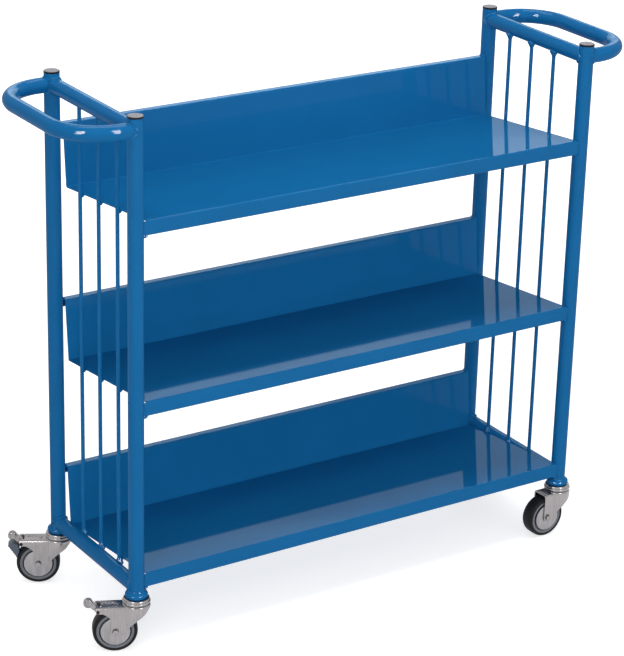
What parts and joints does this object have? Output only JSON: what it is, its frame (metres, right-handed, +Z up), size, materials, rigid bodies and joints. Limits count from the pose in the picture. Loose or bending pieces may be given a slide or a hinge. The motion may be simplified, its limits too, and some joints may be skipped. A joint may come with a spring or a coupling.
{
  "type": "book trolley",
  "caption": "tube-frame book trolley with tilted sheet shelves, side rods, push handles and swivel casters, the left ones with foot brakes",
  "frame": {"origin": "on the floor, under the centre of the whole trolley's outline with its casters turned as pictured, so the four posts' centre lies a little forward of it", "axes": "+X along the trolley to its right end, +Y to the rear, where the shelves' back panels are, +Z up"},
  "size_m": [1.1794, 0.3752, 0.979],
  "materials": {
    "frame_blue": "glossy powder coat",
    "zinc_plate": "bright zinc plate",
    "guard_zinc": "bright zinc plate",
    "bright_steel": "plated steel",
    "tyre_black": "matte rubber",
    "wheel_grey": "moulded",
    "cap_black": "moulded",
    "tread_slate": "ribbed",
    "pin_black": "black oxide"
  },
  "bodies": {
    "frame": {"post_front_left": "frame_blue", "post_front_right": "frame_blue", "post_rear_left": "frame_blue", "post_rear_right": "frame_blue", "crossbar_top_left": "frame_blue", "crossbar_top_right": "frame_blue", "crossbar_bottom_left": "frame_blue", "crossbar_bottom_right": "frame_blue", "handle_left": "frame_blue", "handle_right": "frame_blue", "guard_rods_left": "frame_blue", "guard_rods_right": "frame_blue", "shelf_top": "frame_blue", "shelf_middle": "frame_blue", "shelf_bottom": "frame_blue", "post_caps": "cap_black", "caster_sockets": "frame_blue", "head_fl": "zinc_plate", "head_rl": "zinc_plate", "head_fr": "zinc_plate", "head_rr": "zinc_plate", "stem_bolt_fl": "bright_steel", "stem_bolt_rl": "bright_steel", "stem_bolt_fr": "bright_steel", "stem_bolt_rr": "bright_steel"},
    "swivel_fl": {"fork_fl": "zinc_plate", "axle_fl": "bright_steel", "axle_sleeve_fl": "bright_steel", "thread_guards_fl": "guard_zinc", "brake_pin_fl": "pin_black", "brake_leaf_fl": "zinc_plate"},
    "wheel_fl": {"wheel_core_fl": "wheel_grey", "tyre_fl": "tyre_black"},
    "pedal_fl": {"brake_rocker_fl": "bright_steel"},
    "swivel_rl": {"fork_rl": "zinc_plate", "axle_rl": "bright_steel", "axle_sleeve_rl": "bright_steel", "thread_guards_rl": "guard_zinc", "brake_pin_rl": "pin_black", "brake_leaf_rl": "zinc_plate"},
    "wheel_rl": {"wheel_core_rl": "wheel_grey", "tyre_rl": "tyre_black"},
    "pedal_rl": {"brake_rocker_rl": "bright_steel", "brake_tread_rl": "tread_slate"},
    "swivel_fr": {"fork_fr": "zinc_plate", "axle_fr": "bright_steel", "axle_sleeve_fr": "bright_steel", "thread_guards_fr": "guard_zinc"},
    "wheel_fr": {"wheel_core_fr": "wheel_grey", "tyre_fr": "tyre_black"},
    "swivel_rr": {"fork_rr": "zinc_plate", "axle_rr": "bright_steel", "axle_sleeve_rr": "bright_steel", "thread_guards_rr": "guard_zinc"},
    "wheel_rr": {"wheel_core_rr": "wheel_grey", "tyre_rr": "tyre_black"}
  },
  "joints": [
    {"name": "swivel_fl", "type": "hinge", "parent": "frame", "child": "swivel_fl", "pos_m": [-0.465, -0.16261, 0.088], "axis": [0, 0, 1], "continuous": true},
    {"name": "roll_fl", "type": "hinge", "parent": "swivel_fl", "child": "wheel_fl", "pos_m": [-0.49955, -0.1468, 0.04], "axis": [-0.4163, -0.9092, 0], "continuous": true},
    {"name": "pedal_fl", "type": "hinge", "parent": "swivel_fl", "child": "pedal_fl", "pos_m": [-0.52728, -0.1341, 0.081], "axis": [0.4163, 0.9092, 0], "range_deg": [0, 15]},
    {"name": "swivel_rl", "type": "hinge", "parent": "frame", "child": "swivel_rl", "pos_m": [-0.465, 0.13239, 0.088], "axis": [0, 0, 1], "continuous": true},
    {"name": "roll_rl", "type": "hinge", "parent": "swivel_rl", "child": "wheel_rl", "pos_m": [-0.4982, 0.15087, 0.04], "axis": [-0.4863, -0.8738, 0], "continuous": true},
    {"name": "pedal_rl", "type": "hinge", "parent": "swivel_rl", "child": "pedal_rl", "pos_m": [-0.52485, 0.1657, 0.081], "axis": [0.4863, 0.8738, 0], "range_deg": [0, 15]},
    {"name": "swivel_fr", "type": "hinge", "parent": "frame", "child": "swivel_fr", "pos_m": [0.465, -0.16261, 0.088], "axis": [0, 0, 1], "continuous": true},
    {"name": "roll_fr", "type": "hinge", "parent": "swivel_fr", "child": "wheel_fr", "pos_m": [0.43251, -0.16347, 0.04], "axis": [0.0262, -0.9997, 0], "continuous": true},
    {"name": "swivel_rr", "type": "hinge", "parent": "frame", "child": "swivel_rr", "pos_m": [0.465, 0.13239, 0.088], "axis": [0, 0, 1], "continuous": true},
    {"name": "roll_rr", "type": "hinge", "parent": "swivel_rr", "child": "wheel_rr", "pos_m": [0.43282, 0.13691, 0.04], "axis": [-0.1392, -0.9903, 0], "continuous": true}
  ]
}
